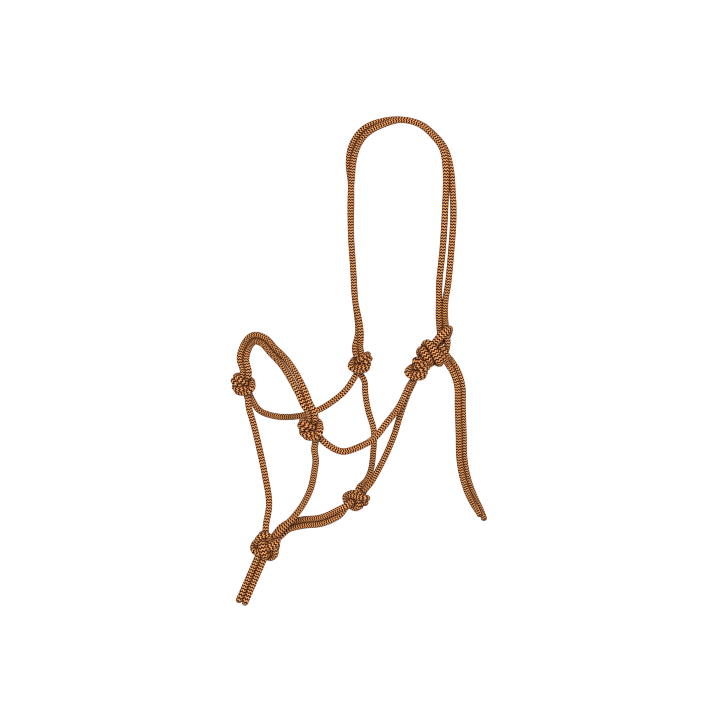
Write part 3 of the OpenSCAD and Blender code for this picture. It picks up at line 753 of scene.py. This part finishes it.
def cap(name, P, s0, mat, node):
    """sealed rope end: the braid runs on and its last few millimetres are
    melted into a rounded, uneven, darker cap"""
    P = resample(P, 0.45)
    n = len(P)
    L = length(P)
    T = tangents(P)
    N = carried(T)
    B = np.cross(T, N)
    f = np.linspace(0, 1, n) * L
    u = np.arange(AROUND) / AROUND
    ang = 2 * math.pi * u
    U, S = np.meshgrid(u, f + s0)
    Aa = np.broadcast_to(ang, U.shape)
    Z = S - s0
    melt = np.clip((Z - (L - 5.0) + 0.5 * np.sin(3 * Aa) + 0.3 * np.sin(7 * Aa + 1)) / 1.6, 0, 1)
    lump = 0.14 * np.sin(3 * Aa + 0.7 * Z) + 0.10 * np.sin(5 * Aa - 1.3 * Z + 1.0) + 0.07 * np.sin(9 * Aa + 2.1 * Z)
    edge = np.clip((Z - (L - 3.0)) / 3.0, 0, 1)
    rr = (ROPE_R - 0.30 + 0.42 * relief(U, S)) * (1 - melt) + (ROPE_R + 0.1 + lump) * melt
    rr = rr * np.sqrt(np.clip(1 - edge**2 * 0.98, 0, 1))
    X = P[:, None, :] + rr[..., None] * (np.cos(ang)[None, :, None] * N[:, None, :] + np.sin(ang)[None, :, None] * B[:, None, :])
    me = mesh_from_rings(name, X, f + s0)
    q = np.concatenate([melt.ravel(), [0.0, 1.0]])
    me.attributes.new("melt", "FLOAT", "POINT").data.foreach_set("value", q.astype(np.float32))
    o = add(name, me, mat, (node,))
    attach(o, "tail_end")


for which, side in (("long", -1), ("short", 1)):
    full = twin(tail, side)
    P = bridge(curve(laid(BD, TAIL_IN[which])), full[4:])
    P = smooth(resample(P, 1.0), 8)
    L = length(P)
    stop = L - 0.3 if which == "long" else L - 15.6
    d = np.r_[0, np.cumsum(np.linalg.norm(np.diff(P, axis=0), axis=1))]
    n = int(np.searchsorted(d, stop))
    P = P[:n]
    X, sv, C_, T_ = rings(P, 0.0)
    seal = 12.0
    keep = int(np.searchsorted(sv, sv[-1] - seal))
    # rings are shared where two pieces meet, so the rope runs on without a seam
    i1 = int(np.argmin(np.abs(C_[:, 2] - 229)))
    i2 = int(np.argmin(np.abs(C_[:, 2] - 158)))
    spans = (("tail_top", 0, i1, "crown", "tail_top", V(276, -60, 276), unit(V(289, -67, 252) - V(276, -60, 276)), 2, 16),
             ("tail_middle", i1, i2, "tail_top", "tail_middle", V(292.5, -74, 206), V(0, 0, -1), -13, 13),
             ("tail_end", i2, keep, "tail_middle", "tail_end", V(302, -75, 109), V(0.22, 0, -0.97), -13, 13))
    for nm, i, j, a, b, c, ax, d0, d1 in spans:
        node = nm + "_" + which + "_strand"
        o = add(node + "_rope", mesh_from_rings(node + "_rope", X[i:j + 1], sv[i:j + 1]), BRAID, (node,))
        ax = unit(ax)
        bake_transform(o)
    cap("sealed_end_" + which + "_melt", np.array(C_[keep:]), sv[keep], SEAL, "sealed_end_" + which)

# ------------------------------------------------------ camera, floor, light
scene = bpy.context.scene
target = V(0.18699, 0.0, 0.27046)
cam = bpy.data.cameras.new("cam")
cam.lens, cam.sensor_width = 85, 36
co = bpy.data.objects.new("cam", cam)
scene.collection.objects.link(co)
pos = target + VBACK * 2.15
co.matrix_world = Matrix(((VRIGHT[0], VUP[0], VBACK[0], pos[0]), (VRIGHT[1], VUP[1], VBACK[1], pos[1]),
                          (VRIGHT[2], VUP[2], VBACK[2], pos[2]), (0, 0, 0, 1)))
cam.clip_end = 100
scene.camera = co

fm = bpy.data.meshes.new("floor")
q = 30.0
fm.from_pydata([(-q, -q, -0.45), (q, -q, -0.45), (q, q, -0.45), (-q, q, -0.45)], [], [(0, 1, 2, 3)])
fl = bpy.data.objects.new("floor", fm)
scene.collection.objects.link(fl)
fmat = bpy.data.materials.new("pale_floor")
fmat.use_nodes = True
nt = fmat.node_tree
nt.nodes.clear()
g = G(nt)
lp_ = g.n("ShaderNodeLightPath")
df = g.n("ShaderNodeBsdfDiffuse")
df.inputs[0].default_value = (0.86, 0.86, 0.86, 1)
em = g.n("ShaderNodeEmission")
em.inputs[0].default_value = (1, 1, 1, 1)
mx = g.n("ShaderNodeMixShader")
nt.links.new(lp_.outputs["Is Camera Ray"], mx.inputs[0])
nt.links.new(df.outputs[0], mx.inputs[1])
nt.links.new(em.outputs[0], mx.inputs[2])
nt.links.new(mx.outputs[0], g.n("ShaderNodeOutputMaterial").inputs[0])
fm.materials.append(fmat)

world = bpy.data.worlds.new("studio")
scene.world = world
world.use_nodes = True
g = G(world.node_tree)
bg = world.node_tree.nodes["Background"]
lp_ = g.n("ShaderNodeLightPath")
# the backdrop is seen white, while the room lights the rope more softly
world.node_tree.links.new(g.m("MULTIPLY_ADD", lp_.outputs["Is Camera Ray"], 0.65, 0.35), bg.inputs[1])
bg.inputs[0].default_value = (1, 1, 1, 1)
scene.view_settings.view_transform = "Standard"
scene.cycles.filter_width = 1.0     # the yarns are about a pixel wide in this view,
scene.cycles.use_denoising = False  # and a denoiser would wipe the braid away


def light(name, pos, aim, size, power):
    l = bpy.data.lights.new(name, "AREA")
    l.size, l.energy = size, power
    lo = bpy.data.objects.new(name, l)
    scene.collection.objects.link(lo)
    lo.location = pos
    lo.rotation_euler = (Vector(aim) - Vector(pos)).to_track_quat("-Z", "Y").to_euler()


light("key", (-1.25, -1.75, 1.55), (0.17, 0, 0.28), 0.6, 60)
light("side", (1.9, -0.9, 1.2), (0.17, 0, 0.28), 1.0, 5)
